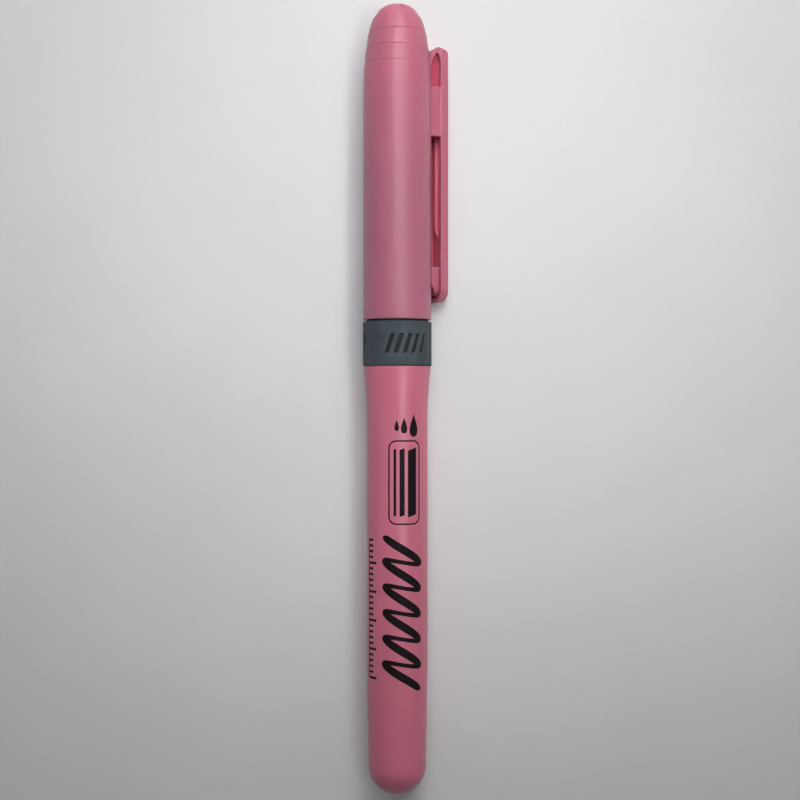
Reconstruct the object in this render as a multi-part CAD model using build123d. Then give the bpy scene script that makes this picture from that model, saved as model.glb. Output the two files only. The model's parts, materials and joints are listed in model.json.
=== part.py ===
"""A capped highlighter pen with a pocket clip on its cap, as separate pieces in parts/NAME.step.

Every piece is built in the pen frame: the pen stands on its round tail at z = 0, +Z runs up to the
cap's crown, the clip is on the +X side. lay_down() then moves it to the row frame, where the pen lies
on a flat surface at z = 0 with its cap toward +Y, rolled until the clip's edge rests on the surface.
Lengths are in millimetres and angles in degrees.
"""

import os
from math import asin, atan2, cos, degrees, hypot, radians, sin, sqrt

from build123d import *

# ---- driving dimensions: outside ----
PEN_LENGTH = 139.0  # tail to crown, cap on
TAIL_R = 5.05  # the round tail, also the barrel's radius where it starts
BARREL_R = 5.35
SHOULDER_R = 5.9  # where the barrel flares out under the grip ring
RING_R = 6.05  # grip ring, the widest round piece
CAP_R = 6.0

# ---- stations along the pen ----
Z_TAPER = 22.0  # the tail's taper ends
Z_FLARE = 66.0  # the shoulder's flare starts
Z_SHOULDER = 75.35
Z_RING_TOP = 83.1
Z_CAP_MOUTH = 83.5
Z_SLEEVE_TOP = 101.0
Z_LAND = 102.0  # start of the sealing land
Z_CONE = 109.5
Z_NOSE = 121.5  # open end of the nose, where the nib comes out
Z_NIB_TIP = 130.5
Z_OGIVE = 122.2  # the cap starts to round off
Z_LEDGES = (128.1, 130.95, 133.8, 136.65, 138.05)  # steps of the dome

# ---- walls and fits ----
WALL = 1.0
FIT = 0.03  # radial clearance of a pressed or sliding fit
EDGE = 0.25  # softened outer edges
OVER = 1.0  # how far a cutter runs past what it cuts

# ---- barrel ----
MOUTH_BORE_R = 4.45
MOUTH_DEPTH = 10.1
SNAP_HEIGHT = 0.14  # ring on the front section's spigot, and its groove in the barrel
SNAP_WIDTH = 1.2
Z_SNAP = 69.5
RIB_COUNT = 6
RIB_WIDTH = 0.6
RIB_GAP = 0.1  # between the ribs and the reservoir's film
Z_RIBS = (6.0, 60.0)

# ---- ink reservoir ----
CORE_R = 3.2
FILM_THICKNESS = 0.12
Z_RESERVOIR = (8.0, 100.8)

# ---- front section and grip ----
NECK_R = 4.2
RESERVOIR_BORE_R = 3.55
Z_SPIGOT = 66.0
FLANGE_R = 4.95
LAND_R = 4.3
NOSE_R = 2.75
VENT_GROOVES = 4
VENT_GROOVE = (0.6, 0.4)  # width and depth of the air grooves beside the nib
SLEEVE_R = 4.95
FINGER_GROOVES = 6
FINGER_FIRST = 3.0  # from the ring's top to the first groove
FINGER_PITCH = 2.3
FINGER_DEPTH = 0.3
FINGER_ROUND = 0.8
RING_MARK_GROUPS = 3
RING_MARKS = 5  # slanted bars in each group
RING_MARK_STEP = 15.0
RING_MARK_SIZE = (0.75, 3.4)
RING_MARK_LEAN = 1.1
RING_MARK_DEPTH = 0.28
RING_MARK_START = -128.0  # first bar of the first group, counted from the clip
COLLAR_R = 5.5  # step on top of the ring, just short of the cap's mouth
COLLAR_GAP = 0.15

# ---- nib ----
NIB_R = 2.0
Z_NIB_REAR = 94.5
NIB_POINT = (0.7, 2.4)  # radius and length of the pointed rear end
NIB_CHISEL = 7.4  # length over which the flats close in
NIB_EDGE = 1.5  # thickness at the writing edge
NIB_SLANT = 32.0
NIB_WORN = 0.2

# ---- cap ----
CAP_BORE_R = 5.25
CAP_LIP = 0.15  # softened outer edge of the mouth
MOUTH_CHAMFER = 0.3
DOME_POWER = 0.25  # how full the dome is, and what is added to that near the crown
CROWN_POWER = 0.04
CROWN_FROM, CROWN_TO = 0.82, 0.90  # shares of the dome's height between which it is added
LEDGE = 0.13  # width of each ledge on the dome
CROWN_R = 1.7
CROWN_DROP = 0.08
CROWN_FLAT_R = 0.9
GATE_MARK_R = 0.5
GATE_MARK_DEPTH = 0.15
VENT_SLOTS = 3
VENT_FIRST = -98.0
VENT_SPAN = (2.0, 3.3)
VENT_WIDTH = 0.5
Z_CAP_TAPER = 118.5  # the bore starts to narrow
CAP_DOME_WALL = 1.15
Z_CAP_ROOF = 137.5
CAP_ROOF_R = 2.4
ROOF_ROUND = 0.5
Z_SEAL_MOUTH = 103.2
Z_SEAL_CONE = 110.2
Z_SEAL_TUBE = 122.5
Z_SEAL_END = 132.2
SEAL_WALL = 0.5
SEAL_LEAD_IN = (0.2, 0.6)  # widening of the thimble's bore at its mouth, and its length
SEAL_TUBE_R = 3.2
SEAL_FINS = 4
SEAL_FIN = 0.5

# ---- clip ----
CLIP_WIDTH = 5.2
CLIP_INNER = 7.35  # rims of the plate's inner face, from the pen's axis
CLIP_SIDE = 8.8  # plate's outer face at its sides
CLIP_CROWN = 9.2  # plate's outer face along its middle
CLIP_EDGE = 0.35
CLIP_RIM_EDGE = 0.15
CLIP_CORNER = 0.5
RECESS_DEPTH = 0.5
RECESS_FLOOR = 3.0  # width of the recess at its floor
RECESS_MOUTH = 4.0
Z_CLIP_TIP = 86.8
Z_CLIP_TOP = 131.95
TIP_THINNING = 0.45
Z_TIP_BEND = 96.0  # the tip starts to thin
TOP_ROUND = 2.05  # length of the rounded top corner, seen from the side
TOP_BOW = 0.52
SHOULDER = (0.15, 0.06)  # end of that corner, inside the plate's inner face and below the top
Z_BRIDGE = 116.1  # foot of the block that joins clip and cap
Z_POCKET = 124.9
BLOCK_INSET = 0.12  # block's sides lie this far inside the plate's
BLOCK_OVERLAP = 0.4  # how far the block reaches into the plate
BLOCK_ROOT_R = 4.8  # the block starts in the cap's wall, before the cap's outside is cut from it
ARCH_SPRING = (0.2, 3.05)  # foot of the block's arched top, outside its root and below the clip's top
ARCH_BOW = 0.38
WEB = 3.0  # between the two pockets of the block
POCKET_FOOT = (0.4, 4.7)  # corners of each pocket, measured in the same way
POCKET_APEX = (1.93, 0.85)
POCKET_HAUNCH = (2.75, 4.9)
POCKET_BOW = 0.3
APEX_ROUND = 0.22  # top of each pocket
Z_CLIP_HINGE = 115.0
KNUCKLE_GAP = 0.05
HINGE_SLIT = 0.15  # room beside the knuckle for the arm to turn
CLIP_RIB = 0.8
CLIP_RIB_RUN_OUT = 2.2
Z_CLIP_RIB_END = 98.05
PAD_WIDTH = 2.8
PAD_GAP = 0.12  # between the tip pad and the cap
Z_PAD = (88.0, 93.05)
PAD_TOE = 1.9  # length of the pad's slope toward the tip, where it rides up over cloth
PAD_TOE_RISE = 0.3
PAD_HEEL = (0.3, 0.4)  # bevel at its other end

# ---- worked out ----
FILM_R = CORE_R + FILM_THICKNESS
HINGE_R = (CLIP_INNER + CLIP_CROWN) / 2
KNUCKLE_R = (CLIP_CROWN - CLIP_INNER) / 2
# The plate's outer face is an arc over its width; the corner at its side is a small round inside that arc.
CLIP_PEAK = (CLIP_INNER - 0.5, Z_CLIP_TOP)  # highest point of the clip, seen from its side
CROWN_ARC_R = ((CLIP_WIDTH / 2) ** 2 + (CLIP_CROWN - CLIP_SIDE) ** 2) / (2 * (CLIP_CROWN - CLIP_SIDE))
CORNER_Y = CLIP_WIDTH / 2 - CLIP_EDGE
CORNER_X = CLIP_CROWN - CROWN_ARC_R + sqrt((CROWN_ARC_R - CLIP_EDGE) ** 2 - CORNER_Y**2)
# Roll at which that corner and the grip ring touch the same flat surface.
ROLL = degrees(asin((RING_R - CLIP_EDGE) / hypot(CORNER_X, CORNER_Y)) - atan2(CORNER_Y, CORNER_X))
CLIP_REACH = CORNER_X * cos(radians(ROLL)) + CORNER_Y * sin(radians(ROLL)) + CLIP_EDGE
AXIS_X = (RING_R - CLIP_REACH) / 2
LYING = Pos(AXIS_X, -PEN_LENGTH / 2, RING_R) * Rot(0, ROLL, 0) * Rot(-90, 0, 0)


def at(radius, z):
    """A point of an outline, in the half plane that is turned round the pen's axis."""
    return (radius, 0, z)


def line(*points):
    """Straight runs through outline points."""
    return Polyline(*[at(*p) for p in points])


def turned(*edges):
    """The solid that a closed outline sweeps round the pen's axis."""
    return revolve(make_face(edges), Axis.Z)


def tube(outer, inner, z0, z1):
    """A plain ring."""
    return turned(line((inner, z0), (outer, z0), (outer, z1), (inner, z1), (inner, z0)))


def around(shape, count, first=0.0):
    """Copies of a shape, evenly spaced round the pen's axis."""
    return [Rot(0, 0, first + 360 * k / count) * shape for k in range(count)]


def block(x0, x1, width, z0, z1):
    """A box from x0 to x1 and z0 to z1, centred on the clip's middle plane."""
    return Pos((x0 + x1) / 2, 0, (z0 + z1) / 2) * Box(x1 - x0, width, z1 - z0)


def bowed(start, end, bow):
    """An arc between two outline points whose middle stands out from the chord, to the left of its way."""
    run, rise = end[0] - start[0], end[1] - start[1]
    chord = hypot(run, rise)
    middle_x = (start[0] + end[0]) / 2 - bow * rise / chord
    middle_z = (start[1] + end[1]) / 2 + bow * run / chord
    return ThreePointArc(at(*start), at(middle_x, middle_z), at(*end))


def dome_radius(z):
    """Outer radius of the cap's rounded end, before it is stepped. It closes in faster near the crown."""
    share = (z - Z_OGIVE) / (PEN_LENGTH - Z_OGIVE)
    near = min(1, max(0, (share - CROWN_FROM) / (CROWN_TO - CROWN_FROM)))
    power = DOME_POWER + CROWN_POWER * near * near * (3 - 2 * near)
    return CAP_R * (1 - share**2) ** power


# ---------------------------------------------------------------- barrel


def barrel():
    """Tube with a closed round tail, guide ribs for the reservoir and a snap groove in its mouth."""
    half = sin(radians(45))
    inner_tail = TAIL_R - WALL
    bore = BARREL_R - WALL
    z_mouth = Z_SHOULDER - MOUTH_DEPTH
    groove = MOUTH_BORE_R + SNAP_HEIGHT
    shell = turned(
        ThreePointArc(at(0, 0), at(TAIL_R * half, TAIL_R * (1 - half)), at(TAIL_R, TAIL_R)),
        line((TAIL_R, TAIL_R), (BARREL_R, Z_TAPER), (BARREL_R, Z_FLARE)),
        TangentArc(at(BARREL_R, Z_FLARE), at(SHOULDER_R, Z_SHOULDER - EDGE), tangent=(0, 0, 1)),
        line(
            (SHOULDER_R, Z_SHOULDER - EDGE),
            (SHOULDER_R - EDGE, Z_SHOULDER),
            (MOUTH_BORE_R, Z_SHOULDER),
            (MOUTH_BORE_R, Z_SNAP + SNAP_WIDTH / 2),
            (groove, Z_SNAP + SNAP_WIDTH / 4),
            (groove, Z_SNAP - SNAP_WIDTH / 4),
            (MOUTH_BORE_R, Z_SNAP - SNAP_WIDTH / 2),
            (MOUTH_BORE_R, z_mouth),
            (bore, z_mouth),
            (bore, Z_TAPER),
            (inner_tail, TAIL_R),
        ),
        ThreePointArc(
            at(inner_tail, TAIL_R),
            at(inner_tail * half, TAIL_R - inner_tail * half),
            at(0, TAIL_R - inner_tail),
        ),
        line((0, TAIL_R - inner_tail), (0, 0)),
    )
    z_low, z_high = Z_RIBS
    rib = block(FILM_R + RIB_GAP, bore + WALL / 2, RIB_WIDTH, z_low, z_high)
    stop = block(FILM_R / 2, FILM_R + WALL, RIB_WIDTH, z_low - WALL, Z_RESERVOIR[0] - FIT)
    skin = BARREL_R - WALL / 2
    envelope = turned(
        line((0, WALL), (inner_tail, TAIL_R), (skin, Z_TAPER), (skin, z_high), (0, z_high), (0, WALL)),
    )
    for piece in around((rib + stop) & envelope, RIB_COUNT):
        shell += piece
    return shell


# ---------------------------------------------------------------- ink system


def nib_body():
    """Round rod with a pointed rear and a chisel end: two flats that close in, cut off at a slant."""
    rear, point = NIB_POINT
    z_end = Z_NIB_TIP + OVER
    z_chisel = Z_NIB_TIP - NIB_CHISEL
    rod = turned(
        line(
            (0, Z_NIB_REAR),
            (rear, Z_NIB_REAR),
            (NIB_R, Z_NIB_REAR + point),
            (NIB_R, z_end),
            (0, z_end),
            (0, Z_NIB_REAR),
        )
    )
    wedge = extrude(
        make_face(
            Polyline(
                (0, -NIB_R - OVER, Z_NIB_REAR - OVER),
                (0, -NIB_R, z_chisel),
                (0, -NIB_EDGE / 2, Z_NIB_TIP + FIT),
                (0, NIB_EDGE / 2, Z_NIB_TIP + FIT),
                (0, NIB_R, z_chisel),
                (0, NIB_R + OVER, Z_NIB_REAR - OVER),
                close=True,
            )
        ),
        NIB_R + OVER,
        dir=(1, 0, 0),
        both=True,
    )
    span = 10 * NIB_R
    slant = Pos(NIB_R, 0, Z_NIB_TIP) * Rot(0, -NIB_SLANT, 0) * Pos(0, 0, span / 2) * Box(span, span, span)
    return rod & wedge - slant


def nib():
    """The fibre nib, with its writing corner and edges just worn round."""
    body = nib_body()
    tip_edges = body.edges().filter_by(lambda e: e.center().Z > Z_NIB_TIP - 2 * NIB_R)
    return fillet(tip_edges.filter_by(GeomType.LINE), NIB_WORN)


def reservoir_core():
    """Fibre bundle, pushed open in front by the nib's rear end."""
    z0, z1 = Z_RESERVOIR
    return Pos(0, 0, (z0 + z1) / 2) * Cylinder(CORE_R, z1 - z0) - nib_body()


def reservoir_film():
    """Thin film wrapped round the fibre bundle."""
    return tube(FILM_R, CORE_R, *Z_RESERVOIR)


# ---------------------------------------------------------------- front section and grip


def front_section():
    """Nib holder: a spigot in the barrel's mouth, a neck for the grip, a sealing land and a nose cone."""
    spigot = MOUTH_BORE_R - FIT
    snap = spigot + SNAP_HEIGHT
    nib_bore = NIB_R + FIT / 2
    z_step = Z_RESERVOIR[1] + 0.4
    z_flange = Z_SLEEVE_TOP + FIT
    groove_width, groove_depth = VENT_GROOVE
    body = turned(
        line(
            (RESERVOIR_BORE_R, Z_SPIGOT),
            (spigot - EDGE, Z_SPIGOT),
            (spigot, Z_SPIGOT + 3 * EDGE),
            (spigot, Z_SNAP - SNAP_WIDTH / 2),
            (snap, Z_SNAP - SNAP_WIDTH / 4),
            (snap, Z_SNAP + SNAP_WIDTH / 4),
            (spigot, Z_SNAP + SNAP_WIDTH / 2),
            (spigot, Z_SHOULDER),
            (NECK_R, Z_SHOULDER),
            (NECK_R, z_flange),
            (FLANGE_R - EDGE / 2, z_flange),
            (FLANGE_R, z_flange + EDGE / 2),
            (FLANGE_R, Z_LAND - EDGE),
            (LAND_R, Z_LAND),
            (LAND_R, Z_CONE),
        ),
        TangentArc(at(LAND_R, Z_CONE), at(NOSE_R + EDGE, Z_NOSE - EDGE), tangent=(0, 0, 1)),
        line(
            (NOSE_R + EDGE, Z_NOSE - EDGE),
            (NOSE_R, Z_NOSE),
            (nib_bore, Z_NOSE),
            (nib_bore, z_step),
            (RESERVOIR_BORE_R, z_step),
            (RESERVOIR_BORE_R, Z_SPIGOT),
        ),
    )
    groove = block(0, nib_bore + groove_depth, groove_width, z_step - OVER, Z_NOSE + OVER)
    for cut in around(groove, VENT_GROOVES, 45):
        body -= cut
    return body


def ring_mark():
    """One slanted bar, as a cutter that reaches RING_MARK_DEPTH into the ring at the +X side."""
    width, height = RING_MARK_SIZE
    outline = Polyline(
        (0, (-width - RING_MARK_LEAN) / 2, -height / 2),
        (0, (width - RING_MARK_LEAN) / 2, -height / 2),
        (0, (width + RING_MARK_LEAN) / 2, height / 2),
        (0, (RING_MARK_LEAN - width) / 2, height / 2),
        close=True,
    )
    bar = extrude(make_face(outline), RING_R + OVER, dir=(1, 0, 0))
    shell = tube(RING_R + OVER, RING_R - RING_MARK_DEPTH, Z_SHOULDER, Z_RING_TOP)
    return Pos(0, 0, (Z_SHOULDER + Z_RING_TOP) / 2) * bar & shell


def grip_sleeve():
    """Rubber sleeve: a wide ring that shows below the cap, and a grooved neck for the fingers."""
    z_foot = Z_SHOULDER + FIT
    bore = NECK_R + FIT
    body = turned(
        line(
            (bore, z_foot),
            (RING_R - EDGE, z_foot),
            (RING_R, z_foot + EDGE),
            (RING_R, Z_RING_TOP - EDGE),
            (RING_R - EDGE, Z_RING_TOP),
            (COLLAR_R, Z_RING_TOP),
            (COLLAR_R, Z_CAP_MOUTH - COLLAR_GAP),
            (SLEEVE_R, Z_CAP_MOUTH - COLLAR_GAP),
            (SLEEVE_R, Z_SLEEVE_TOP),
            (bore, Z_SLEEVE_TOP),
            (bore, z_foot),
        )
    )
    for k in range(FINGER_GROOVES):
        z = Z_RING_TOP + FINGER_FIRST + FINGER_PITCH * k
        body -= Pos(0, 0, z) * Torus(SLEEVE_R - FINGER_DEPTH + FINGER_ROUND, FINGER_ROUND)
    mark = ring_mark()
    for group in range(RING_MARK_GROUPS):
        for k in range(RING_MARKS):
            turn = RING_MARK_START + group * 360 / RING_MARK_GROUPS + k * RING_MARK_STEP
            body -= Rot(0, 0, turn) * mark
    return body


# ---------------------------------------------------------------- cap


def cap_outline():
    """Outer edges of the cap from mouth to crown: a plain skirt, then a rounded end in steps."""
    edges = [line((CAP_R - CAP_LIP, Z_CAP_MOUTH), (CAP_R, Z_CAP_MOUTH + CAP_LIP), (CAP_R, Z_OGIVE))]
    lower = (CAP_R, Z_OGIVE)
    for z in Z_LEDGES:
        outer, inner = (dome_radius(z) + LEDGE / 2, z), (dome_radius(z) - LEDGE / 2, z)
        z_mid = (lower[1] + z) / 2
        edges += [ThreePointArc(at(*lower), at(dome_radius(z_mid), z_mid), at(*outer)), line(outer, inner)]
        lower = inner
    crown = (CROWN_R, PEN_LENGTH - CROWN_DROP)
    edges += [
        bowed(lower, crown, -CROWN_DROP),
        TangentArc(at(CROWN_FLAT_R, PEN_LENGTH), at(*crown), tangent=(1, 0, 0)),
        line((CROWN_FLAT_R, PEN_LENGTH), (0, PEN_LENGTH)),
    ]
    return edges


def cap_envelope():
    """The cap's outside as one full solid."""
    return turned(*cap_outline(), line((0, PEN_LENGTH), (0, Z_CAP_MOUTH), (CAP_R - CAP_LIP, Z_CAP_MOUTH)))


def cap_hollow():
    """The space inside the cap."""
    z_out = Z_CAP_MOUTH - OVER
    chamfer_r = CAP_BORE_R + MOUTH_CHAMFER
    return turned(
        line(
            (0, z_out),
            (chamfer_r, z_out),
            (chamfer_r, Z_CAP_MOUTH),
            (CAP_BORE_R, Z_CAP_MOUTH + 2 * MOUTH_CHAMFER),
            (CAP_BORE_R, Z_CAP_TAPER),
            *[(dome_radius(z) - CAP_DOME_WALL, z) for z in Z_LEDGES[:3]],
            (CAP_ROOF_R + ROOF_ROUND, Z_CAP_ROOF - 2 * ROOF_ROUND),
            (CAP_ROOF_R, Z_CAP_ROOF - ROOF_ROUND),
            (0, Z_CAP_ROOF),
            (0, z_out),
        )
    )


def cap_shell():
    """The cap with its stepped dome and the vent slots round its crown."""
    body = cap_envelope() - cap_hollow()
    slot = block(*VENT_SPAN, VENT_WIDTH, Z_CAP_ROOF - OVER, PEN_LENGTH + OVER)
    for cut in around(slot, VENT_SLOTS, VENT_FIRST):
        body -= cut
    return body - Pos(0, 0, PEN_LENGTH) * Cylinder(GATE_MARK_R, 2 * GATE_MARK_DEPTH)


def cap_inner_seal():
    """Thimble that closes on the sealing land and keeps the nib wet, held in the cap by thin fins."""
    bore = LAND_R + FIT
    widening, lead_in = SEAL_LEAD_IN
    outer, tube_outer = bore + SEAL_WALL, SEAL_TUBE_R + SEAL_WALL
    lip = (outer - widening / 2, Z_SEAL_MOUTH)
    body = turned(
        line(lip, (outer, Z_SEAL_MOUTH + lead_in / 2), (outer, Z_SEAL_CONE)),
        TangentArc(at(outer, Z_SEAL_CONE), at(tube_outer, Z_SEAL_TUBE), tangent=(0, 0, 1)),
        line(
            (tube_outer, Z_SEAL_TUBE),
            (tube_outer, Z_SEAL_END),
            (SEAL_TUBE_R, Z_SEAL_END + SEAL_WALL),
            (0, Z_SEAL_END + SEAL_WALL),
            (0, Z_SEAL_END),
            (SEAL_TUBE_R - widening, Z_SEAL_END),
            (SEAL_TUBE_R, Z_SEAL_TUBE),
        ),
        TangentArc(at(bore, Z_SEAL_CONE), at(SEAL_TUBE_R, Z_SEAL_TUBE), tangent=(0, 0, 1)),
        line((bore, Z_SEAL_CONE), (bore, Z_SEAL_MOUTH + lead_in), (bore + widening, Z_SEAL_MOUTH), lip),
    )
    z_side_fin, z_top_fin = Z_SEAL_MOUTH + OVER, Z_SEAL_END + SEAL_WALL / 2
    side_fin = block(bore + SEAL_WALL / 2, CAP_BORE_R - FIT, SEAL_FIN, z_side_fin, Z_SEAL_CONE)
    top_fin = block(SEAL_FIN, CAP_ROOF_R - widening, SEAL_FIN, z_top_fin, Z_CAP_ROOF - ROOF_ROUND - FIT)
    for fin in around(side_fin, SEAL_FINS, 45) + around(top_fin, SEAL_FINS, 45):
        body += fin
    return body


# ---------------------------------------------------------------- pocket clip


def side_prism(width, *edges):
    """A closed outline seen from the clip's side, made this wide about its middle plane."""
    return extrude(make_face(edges), width / 2, dir=(0, 1, 0), both=True)


def clip_plate():
    """The clip's tongue, full length: crowned outside, hollowed inside, round at the tip."""
    half = CLIP_WIDTH / 2
    section = make_face(
        [
            Polyline((CLIP_SIDE, half), (CLIP_INNER, half), (CLIP_INNER, -half), (CLIP_SIDE, -half)),
            ThreePointArc((CLIP_SIDE, -half), (CLIP_CROWN, 0), (CLIP_SIDE, half)),
        ]
    )
    middle = (CLIP_INNER + CLIP_SIDE) / 2
    section = fillet(section.vertices().filter_by(lambda v: v.X > middle), CLIP_EDGE)
    section = fillet(section.vertices().filter_by(lambda v: v.X < middle), CLIP_RIM_EDGE)
    bar = Pos(0, 0, Z_CLIP_TIP) * extrude(section, Z_CLIP_TOP - Z_CLIP_TIP)
    front = clip_front(half, Z_CLIP_TIP, Z_CLIP_TOP, CLIP_CORNER)
    return (bar & front & clip_side()) - clip_recess()


def clip_front(half, z_tip, z_top, corner):
    """A prism toward the clip with a half-round tip below and rounded corners on top."""
    outline = make_face(
        [
            ThreePointArc((0, -half, z_tip + half), (0, 0, z_tip), (0, half, z_tip + half)),
            Polyline(
                (0, half, z_tip + half),
                (0, half, z_top - corner),
                (0, half - corner, z_top),
                (0, corner - half, z_top),
                (0, -half, z_top - corner),
                (0, -half, z_tip + half),
            ),
        ]
    )
    return extrude(outline, CLIP_CROWN + OVER, dir=(1, 0, 0))


def clip_side():
    """What the plate may fill, seen from its side: a rounded top corner and a tip that thins."""
    outer = CLIP_CROWN + 0.02
    tip = (CLIP_CROWN - TIP_THINNING, Z_CLIP_TIP)
    z_corner = Z_CLIP_TOP - TOP_ROUND
    shoulder = (CLIP_INNER - SHOULDER[0], Z_CLIP_TOP - SHOULDER[1])
    return side_prism(
        CLIP_WIDTH + OVER,
        line((outer, Z_TIP_BEND), (outer, z_corner)),
        bowed((outer, z_corner), shoulder, -TOP_BOW),
        line(shoulder, CLIP_PEAK, (CAP_R, Z_CLIP_TOP), (CAP_R, Z_CLIP_TIP), tip),
        TangentArc(at(outer, Z_TIP_BEND), at(*tip), tangent=(0, 0, -1)),
    )


def clip_recess():
    """The hollow along the plate's inner face, with sloped walls, from the tip up into the block."""
    floor_x = CLIP_INNER + RECESS_DEPTH
    slope = (RECESS_MOUTH - RECESS_FLOOR) / 2 / RECESS_DEPTH
    mouth_x, mouth = CLIP_INNER - OVER, RECESS_MOUTH / 2 + slope * OVER
    profile = Polyline(
        (floor_x, RECESS_FLOOR / 2),
        (mouth_x, mouth),
        (mouth_x, -mouth),
        (floor_x, -RECESS_FLOOR / 2),
        close=True,
    )
    trough = Pos(0, 0, Z_CLIP_TIP) * extrude(make_face(profile), Z_BRIDGE - Z_CLIP_TIP)
    rim = (CLIP_WIDTH - RECESS_MOUTH) / 2
    return trough & clip_front(RECESS_MOUTH / 2, Z_CLIP_TIP + rim, Z_BRIDGE, 0.1)


def clip_bridge_block():
    """Block that ties the clip to the cap: solid below, with an arched pocket in each side above."""
    root, far = BLOCK_ROOT_R, CLIP_INNER + BLOCK_OVERLAP
    corners = (ARCH_SPRING, POCKET_FOOT, POCKET_APEX, POCKET_HAUNCH)
    spring, foot, apex, haunch = [(root + out, Z_CLIP_TOP - below) for out, below in corners]
    z_far = Z_CLIP_TOP - BLOCK_OVERLAP / 2
    back = line(CLIP_PEAK, (far, z_far), (far, Z_BRIDGE), (root, Z_BRIDGE), (root, spring[1]), spring)
    body = side_prism(CLIP_WIDTH - 2 * BLOCK_INSET, bowed(spring, CLIP_PEAK, ARCH_BOW), back)
    sides = line(haunch, (haunch[0], Z_POCKET), (root, Z_POCKET), (root, foot[1]), foot)
    outline = make_face([bowed(foot, apex, POCKET_BOW), bowed(apex, haunch, POCKET_BOW), sides])
    outline = fillet(outline.vertices().sort_by(Axis.Z)[-1], APEX_ROUND)
    pocket = extrude(outline, CLIP_WIDTH, dir=(0, 1, 0), both=True)
    return body - (pocket - block(0, far, WEB, Z_BRIDGE, Z_CLIP_TOP))


def clip_inner_parts():
    """What stands in the plate's hollow: the stiffening rib with its curved run-out, and the tip pad."""
    floor_x = CLIP_INNER + RECESS_DEPTH + 0.1
    z_rib, z_rib_top = Z_CLIP_RIB_END + CLIP_RIB_RUN_OUT, Z_BRIDGE + 0.5
    rib = side_prism(
        CLIP_RIB,
        line((floor_x, Z_CLIP_RIB_END), (floor_x, z_rib_top), (CLIP_INNER, z_rib_top), (CLIP_INNER, z_rib)),
        TangentArc(at(CLIP_INNER, z_rib), at(floor_x, Z_CLIP_RIB_END), tangent=(0, 0, -1)),
    )
    pad_face = CAP_R + PAD_GAP
    z_low, z_high = Z_PAD
    heel_depth, heel_length = PAD_HEEL
    pad = side_prism(
        PAD_WIDTH,
        line(
            (floor_x, z_low),
            (CLIP_INNER - PAD_TOE_RISE, z_low),
            (pad_face, z_low + PAD_TOE),
            (pad_face, z_high - heel_length),
            (pad_face + heel_depth, z_high),
            (floor_x, z_high),
            (floor_x, z_low),
        ),
    )
    return rib + (pad & clip_front(PAD_WIDTH / 2, z_low, Z_CLIP_TOP, 0.1))


def knuckle(radius):
    """Cylinder round the clip's bending line."""
    return Pos(HINGE_R, 0, Z_CLIP_HINGE) * Rot(90, 0, 0) * Cylinder(radius, CLIP_WIDTH + OVER)


def clip_bridge():
    """The part of the clip that stays with the cap, moulded on it: block, arch and top of the tongue."""
    body = clip_plate() + clip_bridge_block() + clip_inner_parts()
    body &= block(0, CLIP_CROWN + OVER, CLIP_WIDTH + OVER, Z_CLIP_HINGE + HINGE_SLIT, Z_CLIP_TOP + OVER)
    return body - knuckle(KNUCKLE_R + KNUCKLE_GAP) - cap_envelope()


def clip_arm():
    """The springing tongue below the bridge, which turns about its bending line."""
    plate = clip_plate() + clip_inner_parts()
    body = plate & block(0, CLIP_CROWN + OVER, CLIP_WIDTH + OVER, 0, Z_CLIP_HINGE)
    return body + (knuckle(KNUCKLE_R) & plate)


# ---------------------------------------------------------------- export

PIECES = {
    "barrel": barrel,
    "front_section": front_section,
    "grip_sleeve": grip_sleeve,
    "nib": nib,
    "reservoir_core": reservoir_core,
    "reservoir_film": reservoir_film,
    "cap_shell": cap_shell,
    "cap_inner_seal": cap_inner_seal,
    "clip_bridge": clip_bridge,
    "clip_arm": clip_arm,
}


def lay_down(shape):
    """From the pen frame to the row frame."""
    return LYING * shape


os.makedirs("parts", exist_ok=True)
for name, make in PIECES.items():
    piece = lay_down(make())
    piece.label = name
    export_step(piece, f"parts/{name}.step")
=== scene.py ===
"""A capped highlighter pen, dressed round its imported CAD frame.

Shapes are written in the pen frame, in millimetres: the pen stands on its tail at z = 0 with the cap up
and the clip toward +x. to_row() turns them to the row frame in metres, where the pen lies on the floor.
"""

import json
import math

import bmesh
import bpy
from mathutils import Matrix, Vector

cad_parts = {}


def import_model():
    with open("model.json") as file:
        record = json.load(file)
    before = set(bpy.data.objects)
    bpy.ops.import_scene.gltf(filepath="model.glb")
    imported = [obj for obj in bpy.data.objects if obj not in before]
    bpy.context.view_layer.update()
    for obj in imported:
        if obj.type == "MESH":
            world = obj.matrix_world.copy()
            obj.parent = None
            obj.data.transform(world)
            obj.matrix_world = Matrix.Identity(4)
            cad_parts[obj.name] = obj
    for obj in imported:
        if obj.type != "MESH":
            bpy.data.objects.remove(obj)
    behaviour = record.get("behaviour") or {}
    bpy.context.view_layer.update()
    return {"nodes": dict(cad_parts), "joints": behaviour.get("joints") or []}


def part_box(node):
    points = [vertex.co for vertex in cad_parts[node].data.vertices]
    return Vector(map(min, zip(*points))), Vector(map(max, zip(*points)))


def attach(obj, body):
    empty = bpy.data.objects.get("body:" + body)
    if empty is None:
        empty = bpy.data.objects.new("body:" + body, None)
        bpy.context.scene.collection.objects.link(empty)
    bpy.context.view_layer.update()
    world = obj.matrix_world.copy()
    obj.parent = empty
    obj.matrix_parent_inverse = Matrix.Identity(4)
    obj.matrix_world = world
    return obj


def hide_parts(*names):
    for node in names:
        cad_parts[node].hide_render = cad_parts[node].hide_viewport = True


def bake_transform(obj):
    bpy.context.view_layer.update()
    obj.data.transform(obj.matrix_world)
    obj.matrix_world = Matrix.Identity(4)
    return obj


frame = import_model()

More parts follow.
